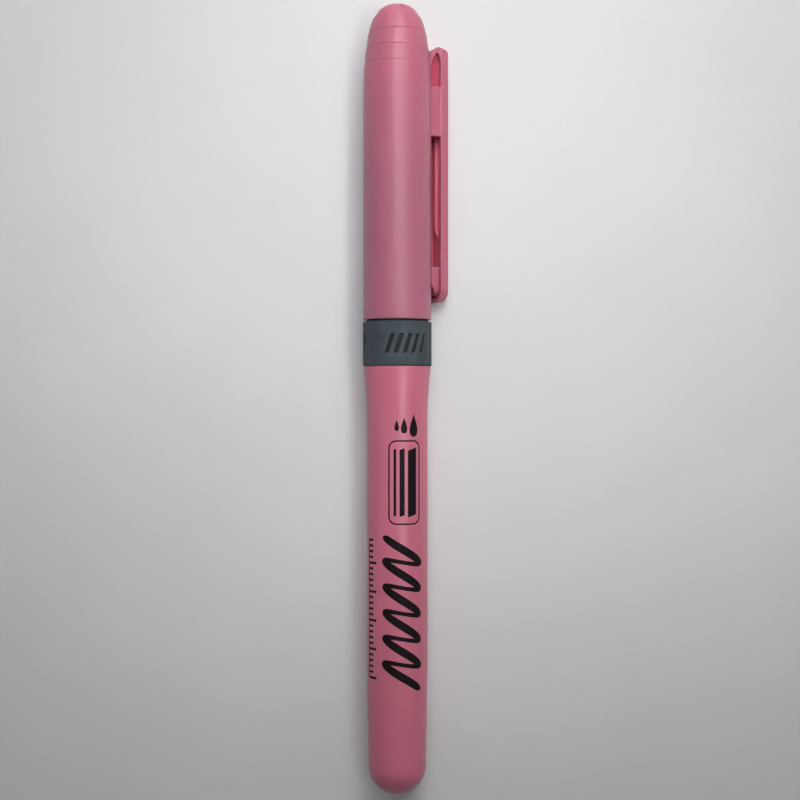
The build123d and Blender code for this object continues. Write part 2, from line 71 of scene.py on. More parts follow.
# ---- sizes in the pen frame, in millimetres ----
MM = 0.001
PEN_LENGTH = 139.0
TAIL_R = 5.05
BARREL_R = 5.35
SHOULDER_R = 5.9
RING_R = 6.05
CAP_R = 6.0
Z_TAPER = 22.0
Z_FLARE = 66.0
Z_SHOULDER = 75.35
Z_RING_TOP = 83.1
Z_CAP_MOUTH = 83.5
Z_SLEEVE_TOP = 101.0
Z_LAND = 102.0
Z_CONE = 109.5
Z_NOSE = 121.5
Z_NIB_TIP = 130.5
Z_OGIVE = 122.2
Z_LEDGES = (128.1, 130.95, 133.8, 136.65, 138.05)  # steps of the cap's dome
Z_CLIP_HINGE = 115.0
EDGE = 0.25  # softened edges of the barrel and of the nose
EDGE_BEVEL = (0.12, 0.05)  # where the barrel's softened edge changes its slope, inward and down
FIT = 0.03  # gap between pieces that meet end to end

# ---- where the pen lies, read from the frame ----
RING_LOW, RING_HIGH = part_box("grip_sleeve")
AXIS_X = (RING_LOW.x + RING_HIGH.x) / 2
AXIS_Z = (RING_LOW.z + RING_HIGH.z) / 2
TAIL_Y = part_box("barrel")[0].y
CLIP_AXIS = next(j for j in frame["joints"] if j["name"] == "clip_flex")["axis"]
ROLL = math.atan2(CLIP_AXIS[0], CLIP_AXIS[2])
PEN_TO_ROW = (
    Matrix.Translation((AXIS_X, TAIL_Y, AXIS_Z))
    @ Matrix.Rotation(ROLL, 4, "Y")
    @ Matrix.Rotation(-math.pi / 2, 4, "X")
    @ Matrix.Scale(MM, 4)
)
ROW_TO_PEN = PEN_TO_ROW.inverted()
UP = -90.0 - math.degrees(ROLL)  # the pen's angle that faces straight up, counted from the clip


# ---------------------------------------------------------------- outlines


def arc_steps(count):
    """Angles of a quarter turn, both ends included."""
    return [math.pi / 2 * k / count for k in range(count + 1)]


def spread(low, high, count):
    """Evenly spaced values from low to high, both included."""
    return [low + (high - low) * k / count for k in range(count + 1)]


def circle(count):
    """Angles of a full turn, the last one left out."""
    return [math.tau * k / count for k in range(count)]


def arc(start, middle, end, count=10):
    """Points on the circle through three points of an outline, without the first one."""
    (ax, ay), (bx, by), (cx, cy) = start, middle, end
    d = 2 * (ax * (by - cy) + bx * (cy - ay) + cx * (ay - by))
    a2, b2, c2 = ax * ax + ay * ay, bx * bx + by * by, cx * cx + cy * cy
    x = (a2 * (by - cy) + b2 * (cy - ay) + c2 * (ay - by)) / d
    y = (a2 * (cx - bx) + b2 * (ax - cx) + c2 * (bx - ax)) / d
    radius = math.hypot(ax - x, ay - y)
    first = math.atan2(ay - y, ax - x)
    half = (math.atan2(by - y, bx - x) - first + math.pi) % math.tau - math.pi
    rest = (math.atan2(cy - y, cx - x) - math.atan2(by - y, bx - x) + math.pi) % math.tau - math.pi
    turn = half + rest
    steps = [first + turn * k / count for k in range(1, count + 1)]
    return [(x + radius * math.cos(a), y + radius * math.sin(a)) for a in steps]


def softened(points, radius, steps=3, sharp=25.0):
    """The closed outline with each real corner rounded off."""
    out = []
    count = len(points)
    for k, here in enumerate(points):
        before, after = Vector(points[k - 1]), Vector(points[(k + 1) % count])
        corner = Vector(here)
        a, b = before - corner, after - corner
        turn = 180 - math.degrees(a.angle(b)) if a.length * b.length > 0 else 0
        if turn < sharp or corner.x < 1e-6:
            out.append(tuple(corner))
            continue
        cut = min(radius * math.tan(math.radians(turn) / 2), 0.45 * a.length, 0.45 * b.length)
        p, q = corner + a.normalized() * cut, corner + b.normalized() * cut
        for s in range(steps + 1):
            t = s / steps
            out.append(tuple((1 - t) ** 2 * p + 2 * t * (1 - t) * corner + t * t * q))
    return out


def divided(points, longest):
    """The closed outline with long runs cut into short ones."""
    out = []
    for k, here in enumerate(points):
        a, b = Vector(here), Vector(points[(k + 1) % len(points)])
        parts = max(1, math.ceil((b - a).length / longest))
        out += [tuple(a.lerp(b, s / parts)) for s in range(parts)]
    return out


# ---------------------------------------------------------------- meshes


def to_row(bm, name, smooth=32.0):
    """A new object from a mesh in the pen frame. It keeps the pen frame's coordinates for its textures."""
    bmesh.ops.recalc_face_normals(bm, faces=bm.faces)
    layer = bm.verts.layers.float_vector.new("pen")
    for v in bm.verts:
        v[layer] = v.co
    for e in bm.edges:
        e.smooth = len(e.link_faces) != 2 or e.calc_face_angle() < math.radians(smooth)
    for f in bm.faces:
        f.smooth = True
    bm.transform(PEN_TO_ROW)
    mesh = bpy.data.meshes.new(name)
    bm.to_mesh(mesh)
    bm.free()
    piece = bpy.data.objects.new(name, mesh)
    bpy.context.scene.collection.objects.link(piece)
    return piece


def turned(outline, segments, shape=None):
    """A solid of revolution from a closed outline of (radius, z).

    shape(angle, radius, z), where there is one, gives the radius at an angle in degrees.
    """
    bm = bmesh.new()
    rings = []
    for radius, z in outline:
        if radius < 1e-6:
            rings.append([bm.verts.new((0, 0, z))])
            continue
        ring = []
        for k in range(segments):
            angle = math.tau * k / segments
            r = shape(math.degrees(angle), radius, z) if shape else radius
            ring.append(bm.verts.new((r * math.cos(angle), r * math.sin(angle), z)))
        rings.append(ring)
    for k, ring in enumerate(rings):
        following = rings[(k + 1) % len(rings)]
        if len(ring) == 1 and len(following) == 1:
            continue
        for s in range(segments):
            n = (s + 1) % segments
            if len(ring) == 1:
                bm.faces.new((ring[0], following[s], following[n]))
            elif len(following) == 1:
                bm.faces.new((ring[s], ring[n], following[0]))
            else:
                bm.faces.new((ring[s], ring[n], following[n], following[s]))
    return bm


def applied(piece):
    """Turns a piece's modifiers into its mesh."""
    graph = bpy.context.evaluated_depsgraph_get()
    mesh = bpy.data.meshes.new_from_object(piece.evaluated_get(graph))
    piece.modifiers.clear()
    piece.data = mesh
    return mesh


def smoothstep(low, high, value):
    t = min(1.0, max(0.0, (value - low) / (high - low)))
    return t * t * (3 - 2 * t)


def wrapped(angle):
    """An angle in degrees brought between -180 and 180."""
    return (angle + 180) % 360 - 180


# ---------------------------------------------------------------- barrel

BARREL_WALL = 1.0
MOUTH_R = 4.45
Z_MOUTH_END = 65.25  # the wide bore behind the mouth ends


def barrel_radius(z):
    """The barrel's outer radius on its tapered, straight and flared stretches."""
    if z < TAIL_R:
        return math.sqrt(max(0.0, TAIL_R**2 - (TAIL_R - z) ** 2))
    if z < Z_TAPER:
        return TAIL_R + (BARREL_R - TAIL_R) * (z - TAIL_R) / (Z_TAPER - TAIL_R)
    if z < Z_FLARE:
        return BARREL_R
    rise, run = SHOULDER_R - BARREL_R, Z_SHOULDER - EDGE - Z_FLARE
    bend = (run * run + rise * rise) / (2 * rise)
    return BARREL_R + bend - math.sqrt(bend * bend - (z - Z_FLARE) ** 2)


def barrel():
    """The barrel's tube: a round closed tail, a taper, a flare and a bore that is wider at its mouth."""
    bore, inner_r = BARREL_R - BARREL_WALL, TAIL_R - BARREL_WALL
    tail = [(TAIL_R * math.sin(a), TAIL_R * (1 - math.cos(a))) for a in arc_steps(24)]
    flare = [(barrel_radius(z), z) for z in spread(Z_FLARE, Z_SHOULDER - EDGE, 16)]
    inner = [(inner_r * math.sin(a), TAIL_R - inner_r * math.cos(a)) for a in reversed(arc_steps(10))]
    outline = tail + [(BARREL_R, Z_TAPER)] + flare
    outline += [(SHOULDER_R - EDGE_BEVEL[0], Z_SHOULDER - EDGE_BEVEL[1]), (SHOULDER_R - EDGE, Z_SHOULDER)]
    outline += [(MOUTH_R, Z_SHOULDER), (MOUTH_R, Z_MOUTH_END), (bore, Z_MOUTH_END), (bore, Z_TAPER)]
    return to_row(turned(divided(outline + inner, longest=1.2), 192), "barrel_tube")


# ---------------------------------------------------------------- grip sleeve

SLEEVE_BORE_R = 4.23
SLEEVE_R = 4.95
COLLAR_R = 5.5  # step between the ring and the cap's mouth
COLLAR_GAP = 0.15
RING_EDGE = 0.22  # rounding of the ring's edges
FINGER_GROOVES = 6
FINGER_FIRST = 3.0  # from the ring's top to the middle of the first groove
FINGER_PITCH = 2.3
FINGER_HALF = 0.62  # half a groove's width
FINGER_DEPTH = 0.3
MARK_GROUPS = 3
MARKS = 5  # slanted bars in each group
MARK_STEP = 15.0
MARK_START = -128.0
MARK_HEIGHT = 3.4
MARK_WIDTH = 0.75
MARK_LEAN = 1.1
MARK_DEPTH = 0.28
MARK_SOFTNESS = (-0.03, 0.1)  # a bar's wall, from its top edge to its floor


def mark_depth(angle, z):
    """How deep the slanted bars are pressed into the ring at a place."""
    up = z - (Z_SHOULDER + Z_RING_TOP) / 2
    if abs(up) > MARK_HEIGHT / 2 + MARK_SOFTNESS[1]:
        return 0.0
    deepest = 0.0
    for group in range(MARK_GROUPS):
        for k in range(MARKS):
            turn = MARK_START + group * 360 / MARK_GROUPS + k * MARK_STEP
            across = math.radians(wrapped(angle - turn)) * RING_R
            side = MARK_WIDTH / 2 - abs(across - MARK_LEAN * up / MARK_HEIGHT)
            end = MARK_HEIGHT / 2 - abs(up)
            deepest = max(deepest, smoothstep(*MARK_SOFTNESS, min(side, end)))
    return MARK_DEPTH * deepest


def finger_groove(z):
    """A rounded groove's outline round the sleeve's neck, from its near lip to its far one."""
    points = [(SLEEVE_R, z - FINGER_HALF)]
    for s in range(-3, 4):
        depth = FINGER_DEPTH * math.cos(math.pi / 8 * s) ** 0.7
        points.append((SLEEVE_R - depth, z + FINGER_HALF * s / 4))
    return points + [(SLEEVE_R, z + FINGER_HALF)]


def grip_sleeve():
    """The rubber sleeve, finely divided for the bars pressed into its ring.

    "pressed" says how deep a place lies in a bar, from 0 to 1; the rubber's painted shade follows it.
    """
    z_foot, z_collar = Z_SHOULDER + FIT, Z_CAP_MOUTH - COLLAR_GAP
    outline = [(SLEEVE_BORE_R, z_foot), (RING_R, z_foot), (RING_R, Z_RING_TOP), (COLLAR_R, Z_RING_TOP)]
    outline += [(COLLAR_R, z_collar), (SLEEVE_R, z_collar)]
    for k in range(FINGER_GROOVES):
        outline += finger_groove(Z_RING_TOP + FINGER_FIRST + FINGER_PITCH * k)
    outline += [(SLEEVE_R, Z_SLEEVE_TOP), (SLEEVE_BORE_R, Z_SLEEVE_TOP)]
    ring_face = RING_R - 0.02

    def pressed(angle, radius, z):
        if radius < ring_face:
            return radius
        return radius - mark_depth(angle, z)

    outline = divided(softened(outline, RING_EDGE, steps=5, sharp=40), longest=0.085)
    bm = turned(outline, 720, pressed)
    depth = bm.verts.layers.float.new("pressed")
    for v in bm.verts:
        if v.co.z < Z_RING_TOP - 0.3 and v.co.xy.length > ring_face - MARK_DEPTH:
            v[depth] = mark_depth(math.degrees(math.atan2(v.co.y, v.co.x)), v.co.z) / MARK_DEPTH
    return to_row(bm, "grip_rubber_sleeve", smooth=60)


# ---------------------------------------------------------------- cap

LEDGE = 0.13  # width of each step of the dome
LEDGE_GROOVE = 0.10  # depth of the fine groove behind a step
LEDGE_GROOVE_END = 0.36  # from the step to the groove's far side
LEDGE_ROUND = 0.12
CROWN_R = 1.7
CROWN_DROP = 0.08
CROWN_BOW = (0.05, 0.06)  # how far the last arc's middle stands off its chord, outward and up
CROWN_FLAT_R = 0.9
GATE_R = 0.5  # moulding dimple in the crown
GATE_DEPTH = 0.15
CAP_BORE_R = 5.25
CAP_WALL = 1.15  # in the dome
Z_CAP_TAPER = 118.5
Z_CAP_ROOF = 137.5
CAP_ROOF_R = 2.4
ROOF_ROUND = 0.5
MOUTH_CHAMFER = 0.3
VENT_SLOTS = 3
VENT_FIRST = -98.0
VENT_SIZE = (1.3, 0.5, 4)  # outward, across and along the pen
VENT_MIDDLE = (2.65, 0, PEN_LENGTH - 0.5)


def dome_radius(z):
    """The rounded end of the cap before it is stepped, closing in faster near the crown."""
    share = (z - Z_OGIVE) / (PEN_LENGTH - Z_OGIVE)
    return CAP_R * (1 - share**2) ** (0.25 + 0.04 * smoothstep(0.82, 0.90, share))


def cap_outline():
    """The cap's closed outline. A fine groove lies behind the rounded edge of each ledge on its dome."""
    points = [(CAP_R, Z_CAP_MOUTH), (CAP_R, Z_OGIVE)]
    lower = (CAP_R, Z_OGIVE)
    for z in Z_LEDGES:
        z_mid = (lower[1] + z) / 2
        points += arc(lower, (dome_radius(z_mid), z_mid), (dome_radius(z) + LEDGE / 2, z), 12)
        foot, z_end = dome_radius(z) - LEDGE / 2, z + LEDGE_GROOVE_END
        lower = (min(foot, dome_radius(z_end) - 0.01), z_end)
        points += [(foot - LEDGE_GROOVE, z + 0.01), lower]
    z_crown = PEN_LENGTH - CROWN_DROP
    middle = ((lower[0] + CROWN_R) / 2 + CROWN_BOW[0], (lower[1] + z_crown) / 2 + CROWN_BOW[1])
    points += arc(lower, middle, (CROWN_R, z_crown), 8)
    points += [(CROWN_FLAT_R + 0.4, PEN_LENGTH - 0.02), (CROWN_FLAT_R, PEN_LENGTH), (GATE_R, PEN_LENGTH)]
    points += [(GATE_R - 0.05, PEN_LENGTH - 0.12), (0, PEN_LENGTH - GATE_DEPTH), (0, Z_CAP_ROOF)]
    points += [(CAP_ROOF_R, Z_CAP_ROOF - ROOF_ROUND), (CAP_ROOF_R + ROOF_ROUND, Z_CAP_ROOF - 2 * ROOF_ROUND)]
    points += [(dome_radius(z) - CAP_WALL, z) for z in reversed(Z_LEDGES[:3])]
    points += [(CAP_BORE_R, Z_CAP_TAPER), (CAP_BORE_R, Z_CAP_MOUTH + 2 * MOUTH_CHAMFER)]
    points += [(CAP_BORE_R + MOUTH_CHAMFER, Z_CAP_MOUTH)]
    return divided(softened(points, LEDGE_ROUND, steps=4, sharp=22), longest=1.0)


def cap():
    """The cap, with vent slots sawn through round its crown."""
    piece = to_row(turned(cap_outline(), 256), "cap_tube", smooth=28)
    for k in range(VENT_SLOTS):
        turn = math.radians(VENT_FIRST + 360 / VENT_SLOTS * k)
        bm = bmesh.new()
        bmesh.ops.create_cube(bm, size=1)
        bmesh.ops.scale(bm, vec=VENT_SIZE, verts=bm.verts)
        bmesh.ops.translate(bm, vec=VENT_MIDDLE, verts=bm.verts)
        bmesh.ops.rotate(bm, matrix=Matrix.Rotation(turn, 3, "Z"), verts=bm.verts)
        cutter = to_row(bm, "cutter")
        cut = piece.modifiers.new("cut", "BOOLEAN")
        cut.object, cut.operation, cut.solver = cutter, "DIFFERENCE", "EXACT"
        applied(piece)
        bpy.data.objects.remove(cutter)
    return piece


# ---------------------------------------------------------------- clip

CLIP_INNER = 7.3  # just inside the rims of the plate
CLIP_FLOOR = 7.85  # floor of the hollow along the plate's inner face
CLIP_HALF_WIDTH = 2.6
CLIP_OUTER = 8.75  # where the plate's sides end and its outer face starts
CLIP_RIM = 1.99  # the hollow's half width at its mouth
CLIP_RIB = 0.41  # half the rib's width
Z_PAD_TOP = 93.3
CLIP_VOXEL = 0.075
PAINTED_LIGHT_EDGE = (0.35, 0.85)  # from the clip's sides inward, where the painted shade and painted light of its hollows come in
CLIP_BEND = (1.0, -9.0)  # the stretch that bends when the tongue lifts, counted from the hinge


def slit_fillers(bm):
    """Hulls over the slit that lets the CAD clip turn, so that the clip shown here is in one piece."""
    low, high = Z_CLIP_HINGE - 0.1, Z_CLIP_HINGE + 1.0
    near = [v.co.copy() for v in bm.verts if low < v.co.z < high]
    inside = [p for p in near if CLIP_INNER < p.x < CLIP_FLOOR + 0.2]
    groups = [
        [p for p in near if p.x > CLIP_FLOOR - 0.01],
        [p for p in inside if p.y > CLIP_RIM],
        [p for p in inside if p.y < -CLIP_RIM],
        [p for p in inside if abs(p.y) < CLIP_RIB],
    ]
    for group in groups:
        hull = bmesh.ops.convex_hull(bm, input=[bm.verts.new(p) for p in group])
        loose = set(hull["geom_interior"] + hull["geom_unused"])
        bmesh.ops.delete(bm, geom=[v for v in loose if isinstance(v, bmesh.types.BMVert)], context="VERTS")


def clip():
    """The whole clip in one, from the frame's two clip nodes: joined, remeshed and softened at its edges.

    One vertex layer marks the walls of the two pockets in its root, for painted shade, and another those of
    the hollow along its tongue, for painted light.
    """
    bm = bmesh.new()
    for node in ("clip_bridge", "clip_arm"):
        bm.from_mesh(frame["nodes"][node].data)
    bm.transform(ROW_TO_PEN)
    bmesh.ops.remove_doubles(bm, verts=bm.verts, dist=1e-4)
    slit_fillers(bm)
    mesh = bpy.data.meshes.new("clip_draft")
    bm.to_mesh(mesh)
    bm.free()
    draft = bpy.data.objects.new("clip_draft", mesh)
    bpy.context.scene.collection.objects.link(draft)
    remesh = draft.modifiers.new("remesh", "REMESH")
    remesh.mode = "VOXEL"
    remesh.voxel_size = CLIP_VOXEL
    remesh.use_smooth_shade = True
    relax = draft.modifiers.new("relax", "SMOOTH")
    relax.factor = 0.5
    relax.iterations = 3
    applied(draft)
    bm = bmesh.new()
    bm.from_mesh(draft.data)
    bpy.data.objects.remove(draft)
    # Painted shade goes on the pockets' layer and painted light on the hollow's layer.
    pocket_shade = bm.verts.layers.float.new("pocket_shade")
    gap = bm.verts.layers.float.new("gap")
    for v in bm.verts:
        depth = smoothstep(*PAINTED_LIGHT_EDGE, CLIP_HALF_WIDTH - abs(v.co.y))
        depth *= 1 - smoothstep(CLIP_OUTER - 0.25, CLIP_OUTER, v.co.x)
        if v.co.z > Z_CLIP_HINGE + CLIP_BEND[0]:
            v[pocket_shade] = depth
        elif v.co.z > Z_PAD_TOP:
            v[gap] = depth
    return to_row(bm, "pocket_clip", smooth=180)


# ---------------------------------------------------------------- front section and nib

SPIGOT_R = 4.42  # the part pressed into the barrel's mouth
Z_SPIGOT = 66.0
SPIGOT_LEAD_IN = (0.3, 0.8)
NECK_R = 4.2  # carries the rubber sleeve
FLANGE_R = 4.95
FLANGE_CHAMFER = 0.35
LAND_R = 4.3
NOSE_R = 2.75
SECTION_ROUND = 0.12
RESERVOIR_BORE_R = 3.55
Z_RESERVOIR_STOP = 101.2
NIB_BORE_R = 2.03
AIR_GROOVES = 4  # in the nib's bore, so that air gets in as ink goes out
AIR_GROOVE_FIRST = 45
AIR_GROOVE_DEPTH = 0.4
AIR_GROOVE_WALL = (0.25, 0.34)  # from the groove's middle to where its wall starts and ends
NIB_R = 2.0
NIB_REAR_R = 0.7
Z_NIB_REAR = 94.5
NIB_REAR_TAPER = 2.4
CHISEL_EDGE = 1.5
CHISEL_LENGTH = 7.4
CHISEL_SLANT = 32.0
CHISEL_WEAR = 0.14


def front_section():
    """The dark nib holder: a spigot, a neck, a flange, a land for the seal and a rounded nose."""
    z_flange = Z_SLEEVE_TOP + FIT
    outline = [(RESERVOIR_BORE_R, Z_SPIGOT), (SPIGOT_R - SPIGOT_LEAD_IN[0], Z_SPIGOT)]
    outline += [(SPIGOT_R, Z_SPIGOT + SPIGOT_LEAD_IN[1]), (SPIGOT_R, Z_SHOULDER)]
    outline += [(NECK_R, Z_SHOULDER), (NECK_R, z_flange), (FLANGE_R, z_flange)]
    outline += [(FLANGE_R, Z_LAND - FLANGE_CHAMFER), (LAND_R, Z_LAND), (LAND_R, Z_CONE)]
    rise, run = LAND_R - NOSE_R - EDGE, Z_NOSE - EDGE - Z_CONE
    bend = (run * run + rise * rise) / (2 * rise)
    for z in spread(Z_CONE, Z_NOSE - EDGE, 24)[1:]:
        outline.append((LAND_R - bend + math.sqrt(bend * bend - (z - Z_CONE) ** 2), z))
    outline += [(NOSE_R, Z_NOSE), (NIB_BORE_R, Z_NOSE)]
    outline += [(NIB_BORE_R, Z_RESERVOIR_STOP), (RESERVOIR_BORE_R, Z_RESERVOIR_STOP)]

    def vented(angle, radius, z):
        if radius > NIB_BORE_R + 0.1 or z < Z_RESERVOIR_STOP - 0.1:
            return radius
        off = abs(wrapped(AIR_GROOVES * (angle - AIR_GROOVE_FIRST))) / AIR_GROOVES * math.pi / 180 * radius
        return radius + AIR_GROOVE_DEPTH * (1 - smoothstep(*AIR_GROOVE_WALL, off))

    outline = divided(softened(outline, SECTION_ROUND, steps=3, sharp=30), longest=1.0)
    return to_row(turned(outline, 240, vented), "front_cone", smooth=35)


def nib():
    """A round rod whose end closes in between two flats and is cut off at a slant, with worn edges."""
    z_flat = Z_NIB_TIP - CHISEL_LENGTH
    segments, rows = 96, 28
    bm = bmesh.new()
    rings = [[bm.verts.new((0, 0, Z_NIB_REAR))]]
    rod = [(NIB_REAR_R, Z_NIB_REAR), (NIB_R, Z_NIB_REAR + NIB_REAR_TAPER)]
    rod += [(NIB_R, Z_CONE + 0.5), (NIB_R, z_flat - 1)]
    for r, z in rod:
        rings.append([bm.verts.new((r * math.cos(a), r * math.sin(a), z)) for a in circle(segments)])
    for row in range(rows + 1):
        ring = []
        for a in circle(segments):
            x, y = NIB_R * math.cos(a), NIB_R * math.sin(a)
            top = Z_NIB_TIP + (x - NIB_R) * math.tan(math.radians(CHISEL_SLANT))
            z = z_flat + (top - z_flat) * row / rows
            half = NIB_R + (CHISEL_EDGE / 2 - NIB_R) * (z - z_flat) / CHISEL_LENGTH
            ring.append(bm.verts.new((x, math.copysign(min(abs(y), half), y), z)))
        rings.append(ring)
    for low, high in zip(rings, rings[1:]):
        for s in range(segments):
            n = (s + 1) % segments
            if len(low) == 1:
                bm.faces.new((low[0], high[n], high[s]))
            else:
                bm.faces.new((low[s], low[n], high[n], high[s]))
    bm.faces.new(rings[-1])
    sharp = [e for e in bm.edges if len(e.link_faces) == 2 and e.calc_face_angle() > math.radians(35)]
    tip = [e for e in sharp if min(v.co.z for v in e.verts) > z_flat + 2]
    bmesh.ops.bevel(bm, geom=tip, offset=CHISEL_WEAR, segments=3, affect="EDGES", profile=0.5)
    return to_row(bm, "chisel_nib", smooth=35)


# ---------------------------------------------------------------- print on the barrel

PRINT_HEIGHT = 0.018
PRINT_SINK = -0.02  # the underside of the ink lies in the barrel
Z_DROPS = 65.0
DROPS = ((3.0, 1.0), (1.2, 0.7), (-0.1, 0.5))  # place across the barrel, and size
LINES = ((-0.4, 0.45), (0.85, 0.9), (2.7, 1.6))  # place across the barrel, and width
TICK_LENGTH = 1.3
LONG_TICK = 2.1
TICK_WIDTH = 0.42


def on_barrel(along, across, lift):
    """A place on the barrel: along is z, across is the arc from the line that faces straight up."""
    radius = barrel_radius(along) + lift
    angle = math.radians(UP) + across / BARREL_R
    return (radius * math.cos(angle), radius * math.sin(angle), along)


def patch(bm, grid, lift=PRINT_HEIGHT):
    """A thin closed sheet of ink over a grid of (along, across) places."""
    rows, columns = len(grid), len(grid[0])
    sheets = []
    for height in (lift, PRINT_SINK):
        sheets.append([[bm.verts.new(on_barrel(*p, height)) for p in row] for row in grid])
    top, bottom = sheets
    for i in range(rows - 1):
        for j in range(columns - 1):
            bm.faces.new((top[i][j], top[i][j + 1], top[i + 1][j + 1], top[i + 1][j]))
            bm.faces.new((bottom[i][j], bottom[i + 1][j], bottom[i + 1][j + 1], bottom[i][j + 1]))
    rim = [(0, j) for j in range(columns)] + [(i, columns - 1) for i in range(1, rows)]
    rim += [(rows - 1, j) for j in range(columns - 2, -1, -1)] + [(i, 0) for i in range(rows - 2, 0, -1)]
    for k, (i, j) in enumerate(rim):
        m, n = rim[(k + 1) % len(rim)]
        bm.faces.new((top[i][j], bottom[i][j], bottom[m][n], top[m][n]))


def stroke(bm, path, width, lift=PRINT_HEIGHT):
    """One pen stroke along a path of (along, across) places, with width(t) from its start to its end."""
    grid = []
    count = len(path)
    for k, (z, s) in enumerate(path):
        a, b = path[max(0, k - 1)], path[min(count - 1, k + 1)]
        direction = Vector((b[0] - a[0], b[1] - a[1])).normalized()
        side = Vector((-direction.y, direction.x))
        half = width(k / (count - 1)) / 2
        grid.append([(z + side.x * half * w, s + side.y * half * w) for w in spread(-1, 1, 8)])
    patch(bm, grid, lift)


def barrel_print():
    """Plain graphics in black ink: three drops, a frame with three line widths, a zigzag and a rule."""
    bm = bmesh.new()
    for across, size in DROPS:
        ink_drop(bm, Z_DROPS, across, size)
    frame_round(bm, z_low=47.9, z_high=62.3, low=-1.45, high=4.2)
    line_widths(bm, z_low=49.3, z_high=60.9)
    zigzag(bm, z_low=20.2, z_high=44.6)
    ruler(bm, z_low=21.0, z_high=45.0, across=-6.15)
    return to_row(bm, "barrel_print", smooth=40)


def ink_drop(bm, z, across, size):
    """A filled drop with its point toward the cap, in rows along its middle line."""
    length, breadth = 2.0 * size, 1.15 * size
    rows = []
    for a in spread(0.02, math.pi - 0.02, 32):
        half = breadth * math.sin(a) * (0.5 * (1 - math.cos(a))) ** 0.8
        place = z + length * math.cos(a)
        rows.append([(place, across + half * w) for w in spread(-1, 1, 10)])
    patch(bm, rows)


def frame_round(bm, z_low, z_high, low, high):
    """The outline of a rectangle with round corners."""
    corner, width = 1.3, 0.26
    near, far, left, right = z_low + corner, z_high - corner, low + corner, high - corner
    path = []
    for k, (z, s) in enumerate(((far, right), (near, right), (near, left), (far, left))):
        for a in spread(k * math.pi / 2, (k + 1) * math.pi / 2, 10):
            path.append((z + corner * math.cos(a), s + corner * math.sin(a)))
    closed_stroke(bm, divided(path, 0.5), width)


def closed_stroke(bm, path, width):
    """A stroke of even width round a closed path."""
    count = len(path)
    loops = []
    for k, (z, s) in enumerate(path):
        a, b = path[k - 1], path[(k + 1) % count]
        side = Vector((a[1] - b[1], b[0] - a[0])).normalized() * width / 2
        outer, inner = (z + side.x, s + side.y), (z - side.x, s - side.y)
        top = [(outer, PRINT_HEIGHT), (inner, PRINT_HEIGHT)]
        bottom = [(inner, PRINT_SINK), (outer, PRINT_SINK)]
        loops.append([bm.verts.new(on_barrel(*place, height)) for place, height in top + bottom])
    for k, loop in enumerate(loops):
        after = loops[(k + 1) % count]
        for c in range(4):
            d = (c + 1) % 4
            bm.faces.new((loop[c], loop[d], after[d], after[c]))


def line_widths(bm, z_low, z_high):
    """Three straight lines, from a fine one to a broad one, with a chisel edge's slanted ends."""
    for across, width in LINES:
        rows = []
        for z in spread(z_low, z_high, 40):
            rows.append([(z + 0.35 * s, across + s) for s in spread(-width / 2, width / 2, 8)])
        patch(bm, rows)


def zigzag(bm, z_low, z_high):
    """A loose zigzag with round turns, as a marker leaves it when it is tried out."""
    swings, middle, reach, slant, count = 5.5, 1.0, 3.35, 2.6, 520
    path = []
    for t in spread(0, 1, count):
        swing = math.cos(math.tau * swings * t)
        reach_here = reach * (1 - 0.25 * t * (1 - t))
        path.append((z_high + (z_low - z_high) * t + slant * swing / 2, middle - reach_here * swing))

    def width(t):
        down = math.sin(math.tau * swings * t)
        ends = math.sqrt(max(0.001, 1 - max(0.0, 1 - min(t, 1 - t) / 0.02) ** 2))
        return (1.05 + 0.35 * down) * ends

    stroke(bm, path, width)


def ruler(bm, z_low, z_high, across):
    """A fine rule with a tick at each millimetre, longer at every fifth."""
    stroke(bm, [(z, across) for z in spread(z_low, z_high, 60)], lambda t: 0.25)
    for k in range(int(z_high - z_low) + 1):
        length = LONG_TICK if k % 5 == 0 else TICK_LENGTH
        tick = [(z_low + k, across + 0.05 + s) for s in spread(0, length, 8)]
        stroke(bm, tick, lambda t: TICK_WIDTH, PRINT_HEIGHT + 0.001)


# ---------------------------------------------------------------- materials


